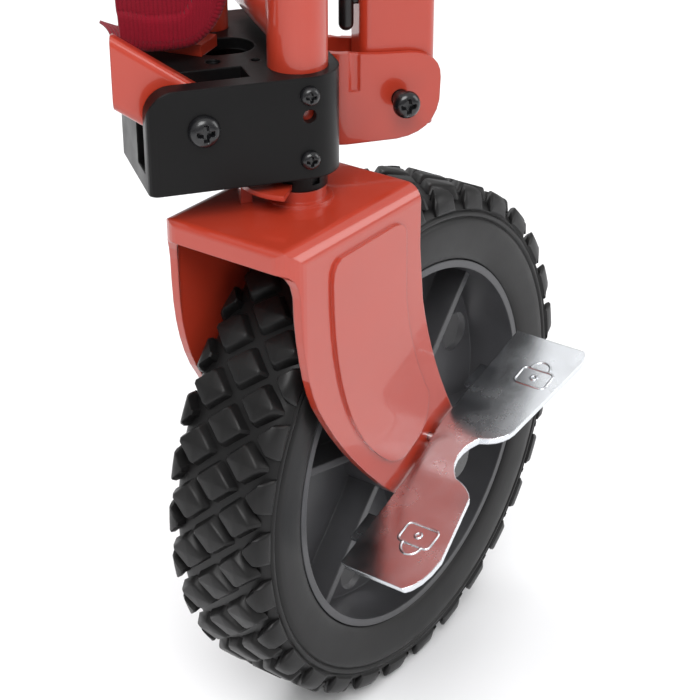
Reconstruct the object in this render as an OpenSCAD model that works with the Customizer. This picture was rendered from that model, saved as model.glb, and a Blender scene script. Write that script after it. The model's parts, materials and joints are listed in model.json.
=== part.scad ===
// Front corner of a folding garden wagon: a braked swivel wheel in a pressed fork, the moulded
// corner bracket above it, and the frame pieces that meet there.
// Origin: centre of the upright tube's top end. The swivel axis is Z. The wheel trails towards +X
// and its axle lies along Y.

/* [Wheel] */
// Outer diameter of the tyre
tyre_d = 200; // [180:1:230]
// Width of the tyre over the tread
tyre_w = 42; // [36:1:50]
// Outer diameter of the rim, which is the tyre's seat
rim_d = 144; // [130:1:150]
// Wall of the rim's barrel
rim_wall = 2.8; // [2:0.2:4]
// Width of the rim's barrel
rim_w = 38; // [32:1:44]
// Number of spoke ribs
spoke_n = 6; // [6:1:8]
// Number of tread lugs round each shoulder
lug_n = 30; // [24:2:36]
// Outer diameter of the hub
hub_d = 40; // [36:1:46]
// Diameter of the axle bolt
axle_d = 10; // [8:1:12]
// Outer diameter of the wheel bearings
bearing_d = 26; // [22:1:28]
// Width of each wheel bearing
bearing_w = 8; // [6:1:9]

/* [Fork] */
// Horizontal distance from the swivel axis back to the axle
trail = 46; // [40:1:56]
// Height of the fork's top face above the axle
fork_h = 113; // [112:1:130]
// Width over the outside of the fork legs
fork_w = 56; // [54:1:66]
// Thickness of the fork's sheet
fork_t = 3; // [2:0.5:4]
// Outer radius of the fold between top and legs
fold_r = 6; // [4:1:8]
// Depth of the front flange
flange_h = 8; // [6:1:12]
// Radius of the leg's end round the axle
leg_end_r = 16; // [14:1:20]
// Height that the pressed panels and rings stand proud
press_h = 1.2; // [0.6:0.2:2]

/* [Swivel] */
// Diameter of the swivel stem
stem_d = 12; // [10:1:13]
// Height of the boss that carries the stem
boss_h = 5; // [4:0.5:7]
// Height of the black collar under the bracket
collar_h = 6.2; // [5:0.2:9]
// Diameter of the black collar
collar_d = 19.2; // [18:0.2:20]

/* [Brake] */
// Height of the pedal plate above the axle, square to the plate
pedal_lift = 13.7; // [12:0.1:16]
// Thickness of the pedal's sheet
pedal_t = 2; // [1.5:0.5:3]
// Reach of the rear lobe from its bend
rear_lobe = 54; // [45:1:60]
// Reach of the front lobe from its bend
front_lobe = 47; // [40:1:54]
// Slope of the pedal's waist
waist_tilt = 32; // [28:1:36]
// Slope of the rear lobe
rear_tilt = 16.5; // [12:0.5:20]
// Slope of the front lobe
front_tilt = 20; // [16:0.5:24]
// Travel of the lock ring into the hub
lock_travel = 2.3; // [1.8:0.1:2.4]

/* [Frame] */
// Height of the upright tube's top end above the axle
upright_top = 195; // [180:1:230]
// Outside diameter of the upright tube
tube_d = 20; // [19:1:22]
// Wall of the frame tubes
tube_t = 1.5; // [1:0.1:1.8]
// Angle from the wheel's straight-ahead plane to the wagon's side
corner_turn = 36; // [0:1:60]
// Height of the bracket's lower edge above the axle
bracket_low = 124.5; // [122:0.5:140]
// Height of the bracket
bracket_h = 35; // [32:1:42]
// Reach of the bracket's front arm from the upright
arm_l = 53.5; // [50:0.5:60]
// Reach of the bracket's rear arm from the upright
rear_l = 62; // [58:1:70]
// Depth of the bracket's left end
end_w = 41.5; // [38:0.5:46]
// Wall of the bracket
bracket_t = 3; // [2.5:0.5:4]
// Depth of the side link's section
link_h = 20; // [18:1:22]
// Thickness of the side link
link_w = 10; // [8:1:10]
// Slope of the side link when the wagon is open
link_tilt = 36; // [30:1:40]
// Diameter of the cross tube
cross_d = 16; // [14:1:18]

/* [Handle] */
// Wide side of the handle tube
handle_w = 27; // [24:1:30]
// Narrow side of the handle tube
handle_t = 15; // [13:1:17]
// Thickness of the clevis sheet
clevis_t = 2.5; // [2:0.5:3]
// Height of the clevis
clevis_h = 33; // [30:1:38]
// Length of the clevis plates from the centre of the round back
clevis_l = 33.5; // [31:0.5:40]

/* [Hidden] */

eps = 0.1;              // how far a cut runs past the face it opens
run_gap = 0.05;         // radial clearance of a running fit
seat_gap = 0.05;        // radial clearance between pieces fixed to each other
part_gap = 0.4;         // clearance between pieces that pass each other
fine = 64;              // segments of a plain circle

axle_z = -upright_top;
rim_r = rim_d / 2;
fork_y = fork_w / 2;
swivel_x = -trail;
bore_r = axle_d / 2 + seat_gap;

paint = [0.72, 0.16, 0.08];
black_plastic = [0.09, 0.09, 0.1];
zinc = [0.75, 0.77, 0.8];
dark_steel = [0.14, 0.14, 0.15];

// Places its children in the wheel's own frame: the axle is Y, heights are from the axle.
module at_axle() translate([trail, 0, axle_z]) children();

// Places its children in the wagon's frame: X runs forward along the wagon's side, Y runs across
// the wagon, heights are from the axle and the upright's axis is Z.
module at_frame() translate([0, 0, axle_z]) rotate([0, 0, -corner_turn]) children();

// A cylinder along +Y that starts at y0.
module y_cylinder(r, y0, length)
    translate([0, y0, 0]) rotate([-90, 0, 0]) cylinder(r = r, h = length, $fn = fine);

// A tube along +Y that starts at y0.
module y_ring(r_out, r_in, y0, length)
    difference() {
        y_cylinder(r_out, y0, length);
        y_cylinder(r_in, y0 - eps, length + 2 * eps);
    }

// A cylinder along +X that starts at x0.
module x_cylinder(r, x0, length)
    translate([x0, 0, 0]) rotate([0, 90, 0]) cylinder(r = r, h = length, $fn = fine);

// Extrudes an outline drawn in X and Z from y0 towards +Y.
module xz_extrude(y0, length)
    translate([0, y0 + length, 0]) rotate([90, 0, 0]) linear_extrude(length) children();

// Points of a smooth bend from a to c that is pulled towards b, without its last point.
function bend(a, b, c, steps = 6) = [
    for (i = [0:steps - 1])
        let (t = i / steps)
        (1 - t) * (1 - t) * a + 2 * t * (1 - t) * b + t * t * c
];

// Points of an arc round a centre.
function arc(centre, r, from, to, steps = 8) = [
    for (i = [0:steps])
        let (a = from + (to - from) * i / steps)
        centre + r * [cos(a), sin(a)]
];

// A rectangle with round corners, centred on the origin.
module round_rect(w, h, r) {
    square([w - 2 * r, h], center = true);
    square([w, h - 2 * r], center = true);
    for (x = [-1, 1], y = [-1, 1])
        translate([x * (w / 2 - r), y * (h / 2 - r)]) circle(r = r, $fn = 32);
}

// ---- Wheel ----

shoulder_w = tyre_w / 2;
lug_depth = 4;          // how deep the gaps between lugs are cut
lug_gap = 8;            // width of the gap between two lugs
rim_half = rim_w / 2;
web_t = 3;              // thickness of the wheel's web
web_y = 2;              // near face of the web
rib_t = 3.2;            // thickness of a spoke rib
rib_recess = 9;         // how far the ribs lie below the barrel's edge
socket_n = 12;          // sockets in the hub for the lock ring's teeth
tooth_pitch_r = 15.6;   // circle on which the teeth lie
tooth_r = 1.7;
socket_depth = 4;
seat_y = rim_half - bearing_w;

module tyre_profile() {
    chamfer = 4;
    groove = 3.8;
    groove_r = 88;
    difference() {
        polygon([
            [rim_r + seat_gap, -rim_half + 1], [rim_r + 3, -rim_half - 0.5],
            [tyre_d / 2 - 14, -shoulder_w], [tyre_d / 2 - chamfer, -shoulder_w],
            [tyre_d / 2, -shoulder_w + chamfer], [tyre_d / 2, shoulder_w - chamfer],
            [tyre_d / 2 - chamfer, shoulder_w], [tyre_d / 2 - 14, shoulder_w],
            [rim_r + 3, rim_half + 0.5], [rim_r + seat_gap, rim_half - 1]
        ]);
        for (side = [-1, 1])
            translate([groove_r * tyre_d / 200, side * (shoulder_w + 0.4)])
                square([groove, 3], center = true);
    }
}

module tyre() {
    shoulder_cut = 6;
    color("#2a2a2c")
    at_axle()
    difference() {
        rotate([-90, 0, 0]) rotate_extrude($fn = 180) tyre_profile();
        for (i = [0:lug_n - 1], side = [-1, 1])
            rotate([0, i * 360 / lug_n + (side > 0 ? 180 / lug_n : 0), 0])
                translate([tyre_d / 2, side * shoulder_w, 0])
                    cube([2 * lug_depth, shoulder_cut, lug_gap], center = true);
    }
}

module rim() {
    barrel_r = rim_r - rim_wall;
    color("#4a4b4d")
    at_axle()
    difference() {
        union() {
            y_ring(rim_r, barrel_r, -rim_half, rim_w);
            y_cylinder(hub_d / 2, -rim_half, rim_w);
            y_cylinder(barrel_r + eps, web_y, web_t);
            for (i = [0:spoke_n - 1])
                rotate([0, -48 - i * 360 / spoke_n, 0])
                    translate([0, -rim_half + rib_recess, -rib_t / 2])
                        cube([barrel_r + rim_wall / 2, rim_w - 2 * rib_recess, rib_t]);
        }
        // windows through the web, one between each pair of ribs
        for (i = [0:spoke_n - 1])
            rotate([0, -48 - (i + 0.5) * 360 / spoke_n, 0])
                translate([rim_r - 12.6, 0, 0]) y_cylinder(8, web_y - 1, web_t + 2);
        // bearing seats at both ends and the clear bore between them
        y_cylinder(bearing_d / 2 + seat_gap, -rim_half - eps, bearing_w + eps);
        y_cylinder(bearing_d / 2 + seat_gap, seat_y, bearing_w + eps);
        y_cylinder(bearing_d / 2 - 2, -rim_half, rim_w);
        // sockets for the lock ring
        for (i = [0:socket_n - 1])
            rotate([0, i * 360 / socket_n, 0])
                translate([tooth_pitch_r, 0, 0])
                    y_cylinder(tooth_r + 0.35, -rim_half - eps, socket_depth + eps);
    }
}

module wheel_bearings() {
    color("silver")
    at_axle()
    for (y = [-rim_half, seat_y])
        y_ring(bearing_d / 2, axle_d / 2 + run_gap, y, bearing_w);
}

module bearing_spacer() {
    color("gray")
    at_axle() y_ring(axle_d / 2 + 2.5, axle_d / 2 + run_gap, -seat_y, 2 * seat_y);
}

// ---- Fork ----

leg_front = -81.5;      // front edge of the legs, from the axle
top_rear = -14;         // rear edge of the top, from the axle
top_front = leg_front - 5.5;
flange_low = fork_h - flange_h;
corner_r = 8;           // round of the fork's front corners in plan
push_r = 11.2;          // circle on which the lock ring's push pins lie
push_pin_r = 1.4;

// Side outline of the fork in X and Z, with the axle at the origin.
function fork_outline() = concat(
    arc([top_front + 2.5, fork_h - 2.5], 2.5, 90, 180, 5),
    [[top_front, flange_low]],
    bend([top_front, flange_low], [leg_front, flange_low], [leg_front, flange_low - 14], 5),
    bend([leg_front, 88], [leg_front + 1, 66], [leg_front + 8, 52], 5),
    bend([leg_front + 8, 52], [-58, 24], [-29, -3], 7),
    bend([-29, -3], [-19, -11], [-11, -leg_end_r + 4.4], 4),
    arc([0, 0], leg_end_r, 226, 397, 14),
    bend([leg_end_r * 0.8, leg_end_r * 0.6], [-8, 44], [-13, 76], 9),
    [[top_rear, 90], [top_rear, fork_h]]
);

// Outline of the panel pressed into each leg.
function panel_outline() = concat(
    bend([-66, 96], [-66, 104], [-58, 104], 4),
    bend([-31, 104], [-23.5, 104], [-23.5, 97], 4),
    bend([-23.5, 74], [-20, 50], [-8, 30], 6),
    bend([-8, 30], [-7, 16], [-18, 12], 5),
    bend([-22, 10], [-29, 9], [-36, 15], 5),
    bend([-38, 17], [-66, 42], [-66, 96], 10)
);

// Filled section across the fork, with rounded folds, that stands inset from the outer faces.
module fork_section(inset) {
    r = fold_r - inset;
    half = fork_y - inset;
    top = fork_h - inset;
    translate([-half + r, -40]) square([2 * (half - r), top + 40]);
    translate([-half, -40]) square([2 * half, top + 40 - r]);
    for (side = [-1, 1])
        translate([side * (half - r), top - r]) circle(r = r, $fn = 48);
}

// Plan of the fork with its two round front corners, likewise inset.
module fork_plan(inset) {
    r = corner_r - inset;
    half = fork_y - inset;
    front = top_front + inset;
    polygon(concat(
        [[30, -half], [30, half]],
        arc([front + r, half - r], r, 90, 180, 8),
        arc([front + r, -half + r], r, 180, 270, 8)
    ));
}

module fork_body(inset) {
    intersection() {
        translate([top_front - 1, 0, 0]) rotate([90, 0, 90])
            linear_extrude(-top_front + 40) fork_section(inset);
        translate([0, 0, -41]) linear_extrude(fork_h + 60) fork_plan(inset);
    }
}

module fork() {
    stem_hole_r = stem_d / 2 + seat_gap;
    ring_r = 11.5;
    boss_r = 9.2;
    color(paint)
    at_axle()
    difference() {
        union() {
            intersection() {
                difference() {
                    fork_body(0);
                    fork_body(fork_t);
                }
                xz_extrude(-fork_y - 1, fork_w + 2) polygon(fork_outline());
            }
            // pressed panels on both legs
            for (y = [-fork_y - press_h, fork_y - eps])
                xz_extrude(y, press_h + eps) polygon(panel_outline());
            // boss and ring under the bracket
            translate([swivel_x, 0, fork_h - eps]) cylinder(r = ring_r, h = 1 + eps, $fn = fine);
            translate([swivel_x, 0, fork_h - eps]) cylinder(r = boss_r, h = boss_h + eps, $fn = fine);
        }
        translate([swivel_x, 0, fork_h - 20]) cylinder(r = stem_hole_r, h = 40, $fn = fine);
        y_cylinder(bore_r, -fork_w, 2 * fork_w);
        // guide holes of the lock ring's push pins
        for (a = [60, 240])
            rotate([0, a, 0]) translate([push_r, 0, 0]) y_cylinder(push_pin_r + 0.15, -fork_w, fork_w);
    }
}

// The lock ring works between the near leg and the hub, so the near sleeve is a long one.
leg_in = fork_y - fork_t;
ring_t = 3;
pedal_in = fork_y + press_h + 1.4;      // inner face of the pedal's flange
pedal_out_y = 12;                        // how far the axle stands out past the pedal's flange
head_y = pedal_in + pedal_t + 0.5;

module axle_bolt() {
    head_h = 4;
    color(dark_steel)
    at_axle() {
        y_cylinder(axle_d / 2, -head_y, head_y + fork_y + 11);
        y_cylinder(axle_d / 2 + 2.6, -head_y - head_h, head_h);
    }
}

module axle_nut() {
    nut_r = 9;
    color(zinc)
    at_axle()
    difference() {
        translate([0, fork_y + 1.5, 0]) rotate([-90, 0, 0]) cylinder(r = nut_r, h = 8, $fn = 6);
        y_cylinder(bore_r, fork_y, 12);
    }
}

// Sleeves that hold the bearings' inner rings off the legs, and the washer under the nut.
module axle_sleeves() {
    sleeve_r = axle_d / 2 + 2;
    color(zinc)
    at_axle() {
        y_ring(sleeve_r, bore_r, -leg_in + seat_gap, leg_in - rim_half - part_gap);
        y_ring(sleeve_r, bore_r, rim_half + part_gap - seat_gap, leg_in - rim_half - part_gap);
        y_ring(9.5, bore_r, fork_y + seat_gap, 1.4);
    }
}

// Heights of the swivel's pieces above the axle.
collar_low = bracket_low - collar_h;
bush_r = tube_d / 2 - tube_t - seat_gap;
lower_bush_top = bracket_low + 17;
upper_bush_low = bracket_low + 23;
upper_bush_top = bracket_low + 41;
stem_top = upper_bush_top + 6;

module swivel_stem() {
    head_r = 10;
    head_h = 3.2;
    clip_groove = 1.2;
    color(zinc)
    at_axle() translate([swivel_x, 0, 0])
    difference() {
        union() {
            translate([0, 0, fork_h - fork_t - head_h - seat_gap])
                cylinder(r = head_r, h = head_h, $fn = fine);
            translate([0, 0, fork_h - fork_t - 1])
                cylinder(r = stem_d / 2, h = stem_top - fork_h + fork_t + 1, $fn = fine);
        }
        translate([0, 0, upper_bush_top + 1.6 + part_gap])
            difference() {
                cylinder(r = stem_d, h = clip_groove, $fn = fine);
                translate([0, 0, -eps]) cylinder(r = stem_d / 2 - 0.8, h = clip_groove + 2 * eps, $fn = fine);
            }
    }
}

module stem_washer() {
    color(zinc)
    at_axle() translate([swivel_x, 0, upper_bush_top + part_gap])
    difference() {
        cylinder(r = bush_r - 0.6, h = 1.5, $fn = fine);
        translate([0, 0, -eps]) cylinder(r = stem_d / 2 + seat_gap, h = 2, $fn = fine);
    }
}

module stem_clip() {
    clip_r = bush_r - 0.9;
    color(dark_steel)
    at_axle() translate([swivel_x, 0, upper_bush_top + 1.6 + part_gap + 0.1])
    difference() {
        cylinder(r = clip_r, h = 1, $fn = fine);
        translate([0, 0, -eps]) cylinder(r = stem_d / 2 - 0.7, h = 1.2, $fn = fine);
        translate([0, -2, -eps]) cube([clip_r + 1, 4, 1.2]);
    }
}

// Curved catch on the fork's top that clicks into the collar's notches.
module swivel_lock_plate() {
    inner_r = collar_d / 2 + part_gap + 0.1;
    outer_r = inner_r + 10.4;
    low = fork_h + boss_h + 1.4;
    color(paint)
    at_axle() translate([swivel_x, 0, 0]) {
        rotate([0, 0, 124]) rotate_extrude(angle = 80, $fn = fine)
            translate([inner_r, low]) square([outer_r - inner_r, 1.8]);
        rotate([0, 0, 124]) rotate_extrude(angle = 22, $fn = fine)
            translate([outer_r - 4, fork_h + 0.02]) square([4, low - fork_h]);
    }
}

// ---- Brake ----

// The pedal is a bent strip: a narrow waist over the axle and two lobes that widen outwards.
waist_l = 23.6;
waist_mid = [-11, 9.3];
rear_bend = waist_mid + waist_l / 2 * [cos(waist_tilt), sin(waist_tilt)];
front_bend = waist_mid - waist_l / 2 * [cos(waist_tilt), sin(waist_tilt)];
pedal_y = -pedal_in - pedal_t;      // inner edge of the pedal's plate
waist_out = -45;
lobe_out = -57;
tip_out = -63;
hem = 7;                            // depth of the pedal's inner flange

function reversed(list) = [for (i = [len(list) - 1:-1:0]) list[i]];

// Side view of the strip's top line, or of a line that lies depth below it. Its two ends are
// shortened by cut.
function pedal_line(depth, cut = 0) =
    let (
        df = [cos(front_tilt), sin(front_tilt)],
        dw = [cos(waist_tilt), sin(waist_tilt)],
        dr = [cos(rear_tilt), sin(rear_tilt)],
        nf = [-df[1], df[0]],
        nw = [-dw[1], dw[0]],
        nr = [-dr[1], dr[0]],
        vf = front_bend - depth * (nf + nw) / (1 + nf * nw),
        vr = rear_bend - depth * (nw + nr) / (1 + nw * nr)
    )
    concat(
        [front_bend - (front_lobe - cut) * df - depth * nf],
        bend(vf - 4 * df, vf, vf + 4 * dw, 5),
        [vf + 4 * dw],
        bend(vr - 4 * dw, vr, vr + 4 * dr, 5),
        [vr + 4 * dr, rear_bend + (rear_lobe - cut) * dr - depth * nr]
    );

// Plan of the pedal: two lobes with a notch between them.
module pedal_plan() {
    front_tip = front_bend[0] - front_lobe * cos(front_tilt) - 2;
    rear_tip = rear_bend[0] + rear_lobe * cos(rear_tilt) + 2;
    translate([0, 0, -60]) linear_extrude(120)
    polygon(concat(
        [[front_tip, pedal_y], [rear_tip, pedal_y]],
        bend([rear_tip, tip_out + 9], [rear_tip, tip_out - 1], [rear_tip - 12, tip_out + 1], 5),
        bend([rear_bend[0] + 6, lobe_out - 1], [rear_bend[0], lobe_out],
            [rear_bend[0] - 2, waist_out - 3], 5),
        bend([rear_bend[0] - 2, waist_out - 3], [waist_mid[0], waist_out + 5],
            [front_bend[0] + 3, waist_out - 3], 6),
        bend([front_bend[0] + 3, waist_out - 3], [front_bend[0] + 1, lobe_out],
            [front_bend[0] - 4, lobe_out - 1], 5),
        bend([front_tip + 18, tip_out], [front_tip, tip_out], [front_tip, tip_out + 13], 6)
    ));
}

// Side view of the inner flange: it follows the strip and swells into an ear round the axle.
module flange_shape() {
    ear_r = 11;
    difference() {
        union() {
            polygon(concat(pedal_line(0), reversed(pedal_line(hem, 8))));
            polygon([rear_bend - [0, 1], front_bend - [0, 1], [-ear_r, 0], [0, -2], [ear_r, 0]]);
            circle(r = ear_r, $fn = fine);
        }
        circle(r = axle_d / 2 + run_gap, $fn = fine);
    }
}

// Inward tabs that hug both edges of the fork leg.
module pedal_tab(x, z, tilt, length)
    translate([x, -pedal_in - 1, z]) rotate([0, -tilt, 0])
        translate([-length / 2, 0, -pedal_t / 2])
            cube([length, pedal_in - rim_half - 4.6, pedal_t]);

module brake_pedal() {
    rear_tab = rear_bend + 30 * [cos(rear_tilt), sin(rear_tilt)] - [-1, 5];
    front_tab = front_bend - 26 * [cos(front_tilt), sin(front_tilt)] - [-1, 5];
    color(zinc)
    at_axle() {
        intersection() {
            xz_extrude(tip_out - 5, pedal_y - tip_out + 5 + pedal_t)
                polygon(concat(pedal_line(0), reversed(pedal_line(pedal_t))));
            pedal_plan();
        }
        xz_extrude(pedal_y - 0.01, pedal_t) flange_shape();
        pedal_tab(rear_tab[0], rear_tab[1], rear_tilt, 12);
        pedal_tab(front_tab[0], front_tab[1], front_tilt, 12);
    }
}

// Spring washer between leg and pedal that holds the pedal where the foot leaves it.
module pedal_washer() {
    color(zinc)
    at_axle() y_ring(axle_d / 2 + 3.5, axle_d / 2 + run_gap, -pedal_in + part_gap / 4, 2.2);
}

module brake_lock_ring() {
    ring_y = -leg_in + 0.3;
    tooth_h = leg_in - rim_half - ring_t - 0.3 - part_gap;
    color(zinc)
    at_axle() {
        y_ring(tooth_pitch_r + 2.6, axle_d / 2 + 2 + 0.3, ring_y, ring_t);
        for (i = [0:5])
            rotate([0, i * 60, 0]) translate([tooth_pitch_r, 0, 0])
                y_cylinder(tooth_r, ring_y + ring_t - eps, tooth_h + eps);
        // pins that reach out through the leg to the pedal's cam
        for (a = [60, 240])
            rotate([0, a, 0]) translate([push_r, 0, 0])
                y_cylinder(push_pin_r, -pedal_in + 0.3, pedal_in - 0.3 + ring_y + eps);
    }
}

// ---- Corner bracket and upright ----

barrel_r = tube_d / 2 + 3.5;
slot_y = -1.5;                          // middle of the side link's slot
slot_w = link_w + 0.8;
bracket_top = bracket_low + bracket_h;
pivot = [-35.2, bracket_low + 20.8];    // the side link's bolt
screw_z = [bracket_low + 6.7, bracket_low + 28.7];
oval = [-19, 24.7];
post = [-17.3, 46];
spigot_r = 4;
brace_start = [-24.2, 21];
brace_pin = brace_start + 7.8 * [cos(140), sin(140)];
clevis_mid = barrel_r + clevis_t + 0.1 + handle_t / 2 + 0.5;    // centre of the clevis's round back
clevis_y = 30.5;
clevis_low = 121;
clevis_screw_z = [clevis_low + 10, clevis_low + 24];
m4_hole = 2.2;
m6_hole = 3.2;

module bracket_outline()
    difference() {
        union() {
            circle(r = barrel_r, $fn = 96);
            polygon(concat(
                arc([-arm_l + 3, -barrel_r + 3], 3, 180, 270, 4),
                [[0, -barrel_r], [barrel_r, 0], [barrel_r, rear_l - 3]],
                arc([barrel_r - 3, rear_l - 3], 3, 0, 90, 4),
                [[-10, rear_l], [-arm_l, end_w - barrel_r]]
            ));
        }
        circle(r = tube_d / 2 + seat_gap, $fn = 96);
    }

module bracket_cavity()
    difference() {
        polygon([
            [-arm_l + bracket_t, slot_y + slot_w / 2 + bracket_t],
            [barrel_r - bracket_t, slot_y + slot_w / 2 + bracket_t],
            [barrel_r - bracket_t, rear_l - bracket_t],
            [-10 + bracket_t / 3, rear_l - bracket_t],
            [-arm_l + bracket_t, end_w - barrel_r - bracket_t]
        ]);
        circle(r = barrel_r, $fn = 96);
    }

module corner_bracket() {
    slot_floor = bracket_low + 6;
    corner_r = 9;
    color(black_plastic)
    at_frame()
    difference() {
        translate([0, 0, bracket_low]) linear_extrude(bracket_h) bracket_outline();
        // hollow underside below the web
        translate([0, 0, bracket_low - eps]) linear_extrude(bracket_h - 4 + eps) bracket_cavity();
        // slot for the side link, open at the top and the left end
        translate([-arm_l - 1, slot_y - slot_w / 2, slot_floor])
            cube([arm_l - 17, slot_w, bracket_h]);
        // round top corner of the front wall
        difference() {
            translate([-arm_l - 1, -barrel_r - 1, bracket_top - corner_r])
                cube([corner_r + 1, barrel_r + slot_y - slot_w / 2 + 1.1, corner_r + 1]);
            translate([-arm_l + corner_r, 0, bracket_top - corner_r])
                y_cylinder(corner_r, -barrel_r - 2, barrel_r + 4);
        }
        // opening in the web and the seat of the inner post
        translate([oval[0], oval[1], bracket_top - 6]) {
            for (x = [-2.5, 2.5]) translate([x, 0, 0]) cylinder(r = 8.5, h = 10, $fn = fine);
            translate([-2.5, -8.5, 0]) cube([5, 17, 10]);
        }
        translate([post[0], post[1], bracket_top - 6]) cylinder(r = spigot_r + seat_gap, h = 10, $fn = fine);
        translate([brace_pin[0], brace_pin[1], bracket_top - 6]) cylinder(r = 2 + seat_gap, h = 10, $fn = fine);
        // blind dimple and small relief hole in the web
        translate([-25.7, 10.4, bracket_top - 1.2]) cylinder(r = 2.5, h = 3, $fn = 32);
        translate([-11.9, 8.2, bracket_top - 3]) cylinder(r = 1.6, h = 5, $fn = 32);
        // link bolt, tube screws, spare hole and clevis screws
        translate([pivot[0], 0, pivot[1]]) y_cylinder(m6_hole, -barrel_r - 1, barrel_r + 12);
        for (z = screw_z)
            translate([0, 0, z]) y_cylinder(m4_hole - 0.3, -barrel_r - 1, barrel_r);
        translate([0, 0, bracket_low + 21.7]) y_cylinder(2.3, -barrel_r - 1, barrel_r);
        for (z = clevis_screw_z)
            translate([0, clevis_y, z]) x_cylinder(m4_hole, barrel_r - 5, 10);
    }
}

module upright_tube() {
    socket_l = 21;
    color(paint)
    at_frame()
    difference() {
        translate([0, 0, bracket_low])
            cylinder(r = tube_d / 2, h = upright_top - bracket_low, $fn = fine);
        translate([0, 0, bracket_low - eps])
            cylinder(r = tube_d / 2 - tube_t, h = upright_top - bracket_low + 1, $fn = fine);
        // top end opened out to take a joining sleeve
        translate([0, 0, upright_top - socket_l])
            cylinder(r = tube_d / 2 - tube_t + 0.25, h = socket_l + 1, $fn = fine);
        for (z = screw_z)
            translate([0, 0, z]) y_cylinder(m4_hole - 0.3, -tube_d / 2 - 1, tube_d / 2);
    }
}

// Black collar with four notches, and its sleeve inside the upright tube.
module lower_bush() {
    notch_w = 3;
    color(black_plastic)
    at_frame()
    difference() {
        union() {
            translate([0, 0, collar_low]) cylinder(r = collar_d / 2, h = collar_h - seat_gap, $fn = fine);
            translate([0, 0, collar_low]) cylinder(r = bush_r, h = lower_bush_top - collar_low, $fn = fine);
        }
        translate([0, 0, collar_low - eps])
            cylinder(r = stem_d / 2 + run_gap, h = lower_bush_top, $fn = fine);
        for (a = [20:90:290])
            rotate([0, 0, a]) translate([collar_d / 2 - 1.4, -notch_w / 2, collar_low + 2])
                cube([3, notch_w, collar_h - 3]);
        translate([0, 0, screw_z[0]]) y_cylinder(m4_hole - 0.3, -bush_r - 1, bush_r - stem_d / 2 + 0.4);
    }
}

module upper_bush() {
    color(black_plastic)
    at_frame()
    difference() {
        translate([0, 0, upper_bush_low]) cylinder(r = bush_r, h = upper_bush_top - upper_bush_low, $fn = fine);
        translate([0, 0, upper_bush_low - eps])
            cylinder(r = stem_d / 2 + run_gap, h = 40, $fn = fine);
        translate([0, 0, screw_z[1]]) y_cylinder(m4_hole - 0.3, -bush_r - 1, bush_r - stem_d / 2 + 0.4);
    }
}

// A pan head with a cross recess, its top at y = -height.
module cross_head(r, height) {
    cross = r * 0.62;
    slot = r * 0.26;
    difference() {
        union() {
            y_cylinder(r, -height * 0.6, height * 0.6);
            rotate([90, 0, 0]) translate([0, 0, height * 0.6 - 0.01])
                cylinder(r1 = r, r2 = r * 0.72, h = height * 0.4, $fn = fine);
        }
        for (a = [45, 135])
            rotate([0, a, 0]) translate([-cross, -height - 1, -slot / 2])
                cube([2 * cross, 1 + height * 0.55, slot]);
    }
}

module bracket_screws() {
    shank = tube_d / 2 + 3.5 - stem_d / 2 - 0.7;
    color(dark_steel)
    at_frame()
    for (z = screw_z)
        translate([0, -barrel_r, z]) {
            cross_head(3.3, 2.4);
            y_cylinder(m4_hole - 0.35, -0.1, shank);
        }
}

// ---- Side link ----

link_end = -61;         // where the side link is cut, along the wagon

module link_section(grow)
    round_rect(link_w + 2 * grow, link_h + 2 * grow, 3 + grow);

module side_link() {
    length = (-link_end + pivot[0]) / cos(link_tilt) + 30;
    wall = 1.2;
    cut_turn = 18;
    color(paint)
    at_frame()
    translate([pivot[0], slot_y, pivot[1]])
    difference() {
        union() {
            intersection() {
                rotate([0, 90 + link_tilt, 0]) translate([0, 0, -length])
                    rotate([0, 0, 90]) linear_extrude(length) link_section(0);
                translate([link_end - pivot[0], 0, 0]) rotate([0, 0, -cut_turn])
                    translate([0, -40, -60]) cube([80, 80, 140]);
            }
            y_cylinder(link_h / 2 - 0.6, -link_w / 2 + 0.5, link_w - 1);
        }
        // hollow inside, closed round the bolt
        intersection() {
            rotate([0, 90 + link_tilt, 0]) translate([0, 0, -length - 1])
                rotate([0, 0, 90]) linear_extrude(length - 9) link_section(-wall);
            translate([link_end - pivot[0] - 20, -20, -60]) cube([80, 40, 140]);
        }
        y_cylinder(4.6, -link_w, 2 * link_w);
    }
}

module link_bush() {
    color(zinc)
    at_frame() translate([pivot[0], slot_y, pivot[1]])
        y_ring(4.55, 3 + run_gap, -link_w / 2 - 0.1, link_w + 0.2);
}

module link_bolt() {
    color(dark_steel)
    at_frame() translate([pivot[0], -barrel_r, pivot[1]]) {
        cross_head(5.4, 3.4);
        y_cylinder(3, -0.1, barrel_r + slot_y + slot_w / 2 + bracket_t + 7);
    }
}

module link_nut() {
    color(zinc)
    at_frame() translate([pivot[0], slot_y + slot_w / 2 + bracket_t + seat_gap, pivot[1]])
    difference() {
        rotate([-90, 0, 0]) cylinder(r = 5.7, h = 5, $fn = 6);
        y_cylinder(3 + seat_gap, -1, 8);
    }
}

// ---- Frame behind the bracket ----

cross_z = bracket_low + 45.5;
cross_end = 78;

module front_cross_tube() {
    socket_l = 20;
    color(paint)
    at_frame() translate([0, 0, cross_z])
    difference() {
        y_cylinder(cross_d / 2, 0, cross_end);
        y_cylinder(cross_d / 2 - tube_t, -1, cross_end + 2);
        y_cylinder(cross_d / 2 - tube_t + 0.2, cross_end - socket_l, socket_l + 1);
        translate([0, 0, -cross_d]) cylinder(r = tube_d / 2 + 0.02, h = 2 * cross_d, $fn = fine);
    }
}

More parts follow.
